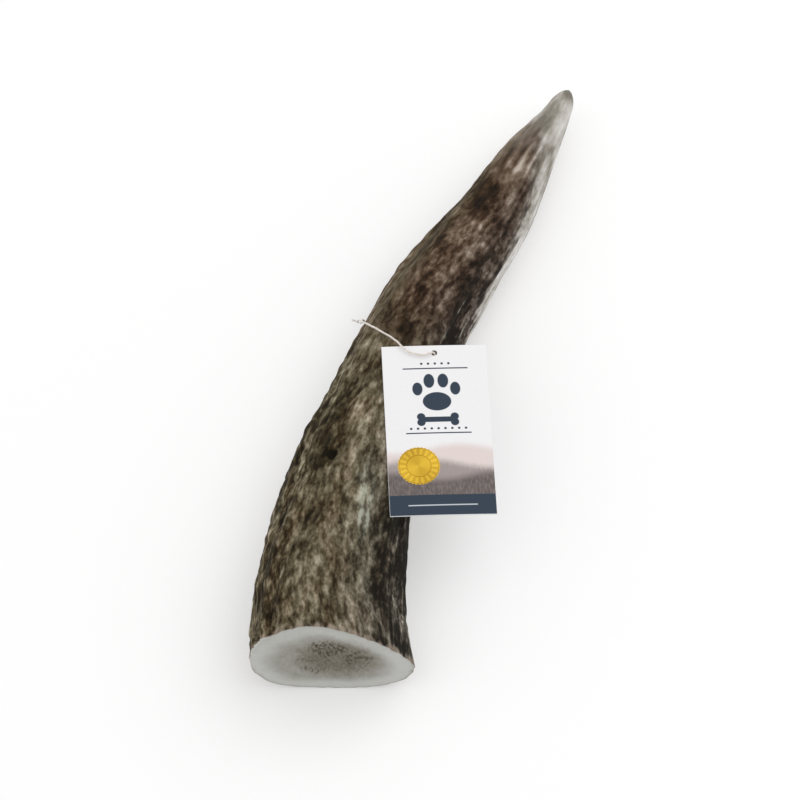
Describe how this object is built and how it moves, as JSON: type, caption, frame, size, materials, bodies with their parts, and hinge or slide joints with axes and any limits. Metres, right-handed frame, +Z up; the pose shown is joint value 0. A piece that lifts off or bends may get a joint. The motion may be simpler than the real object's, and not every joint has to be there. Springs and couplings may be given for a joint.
{
  "type": "deer antler piece with hang tag",
  "caption": "Curved, tapering piece of deer antler lying on its side, sawn off square at the thick end, with a plain card hang tag tied round it on a string.",
  "frame": {"origin": "on the surface that the antler lies on, under the middle of the antler's bounding box", "axes": "+Y from the sawn face towards the tip, along the antler; +X to the side that the tip bends towards; +Z up from the surface"},
  "size_m": [0.107, 0.2276, 0.0408],
  "materials": {
    "antler": "satin",
    "tag_card": "satin",
    "string": "matte"
  },
  "bodies": {
    "root": {"antler": "antler", "hang_tag": "tag_card", "tag_string": "string", "string_knot": "string"}
  },
  "joints": []
}
